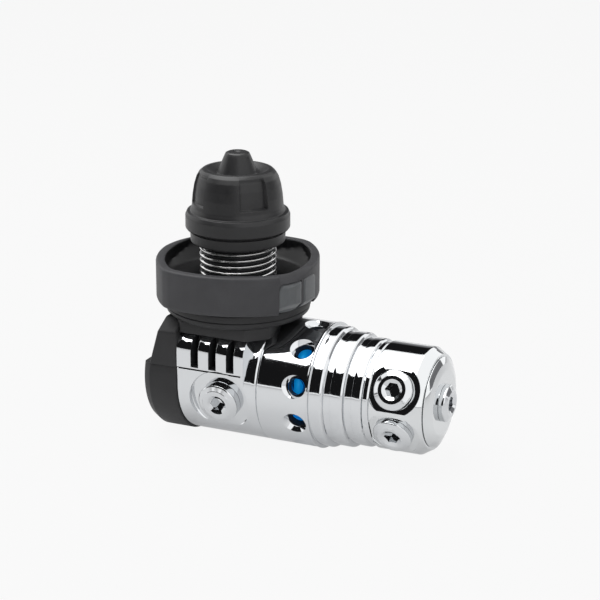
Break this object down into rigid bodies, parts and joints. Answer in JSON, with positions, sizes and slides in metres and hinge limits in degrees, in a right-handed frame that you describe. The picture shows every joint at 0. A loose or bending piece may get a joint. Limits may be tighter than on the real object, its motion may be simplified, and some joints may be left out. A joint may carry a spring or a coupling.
{
  "type": "diving regulator first stage",
  "caption": "Chromed piston first stage of a diving regulator: screw-in cylinder fitting with handwheel and dust cap, round barrel with swivelling hose turret.",
  "frame": {"origin": "on the axis of the cylinder thread, within its exposed length, 7.5 mm above the handwheel floor", "axes": "+Z along the cylinder thread, out of the fitting; +X along the barrel towards the turret; the pictured front faces -Y"},
  "size_m": [0.0936, 0.0494, 0.0871],
  "materials": {
    "chromed_brass": "bright chrome plate on satin-blasted brass",
    "turret_chrome": "bright chrome plate on turned brass",
    "thread_chrome": "bright chrome plate on cut thread",
    "plug_chrome": "bright chrome plate on turned brass",
    "bare_brass": "turned, unplated",
    "bare_steel": "turned stainless steel",
    "blue_spring": "blue powder-coated spring steel",
    "sintered_bronze": "sintered, open-grained",
    "cover_plastic": "fine spark-eroded moulding grain",
    "wheel_plastic": "fine moulding grain",
    "cap_plastic": "moulded, satin",
    "grip_rubber": "moulded soft grip, matt",
    "seal_rubber": "moulded nitrile, satin",
    "seat_polymer": "machined polymer"
  },
  "bodies": {
    "first_stage": {"main_body": "chromed_brass", "end_cover": "cover_plastic", "seat_retainer": "bare_brass", "seat_retainer_oring": "seal_rubber", "valve_seat": "seat_polymer", "saddle": "cover_plastic", "collar_disc": "cover_plastic", "din_connector": "chromed_brass", "connector_oring": "seal_rubber", "face_oring": "seal_rubber", "inlet_filter": "sintered_bronze", "filter_clip": "bare_steel", "barrel": "chromed_brass", "stem_bushing": "seat_polymer", "stem_oring": "seal_rubber", "spring_pad": "seat_polymer", "main_spring": "blue_spring", "high_pressure_plugs": "plug_chrome", "high_pressure_orings": "seal_rubber", "turret_retainer": "turret_chrome", "turret_orings": "seal_rubber", "turret_washer": "seat_polymer", "axial_plug": "plug_chrome", "axial_plug_oring": "seal_rubber"},
    "piston": {"piston": "bare_steel", "piston_oring": "seal_rubber"},
    "turret": {"turret": "turret_chrome", "low_pressure_plugs": "plug_chrome", "low_pressure_orings": "seal_rubber"},
    "handwheel": {"handwheel": "wheel_plastic", "din_sleeve": "thread_chrome", "grip_pads": "grip_rubber"},
    "dust_cap": {"dust_cap": "cap_plastic"}
  },
  "joints": [
    {"name": "handwheel_spin", "type": "hinge", "parent": "first_stage", "child": "handwheel", "pos_m": [0, 0, 0], "axis": [0, 0, 1], "continuous": true},
    {"name": "cap_pull", "type": "slide", "parent": "handwheel", "child": "dust_cap", "axis": [0, 0, 1], "range_m": [0, 0.04]},
    {"name": "turret_swivel", "type": "hinge", "parent": "first_stage", "child": "turret", "pos_m": [0.0557, 0, -0.0378], "axis": [1, 0, 0], "continuous": true},
    {"name": "piston_slide", "type": "slide", "parent": "first_stage", "child": "piston", "axis": [1, 0, 0], "range_m": [-0.001, 0], "stiffness_N_per_m": 800, "springref_m": 0.002, "deforming": ["main_spring"]}
  ]
}
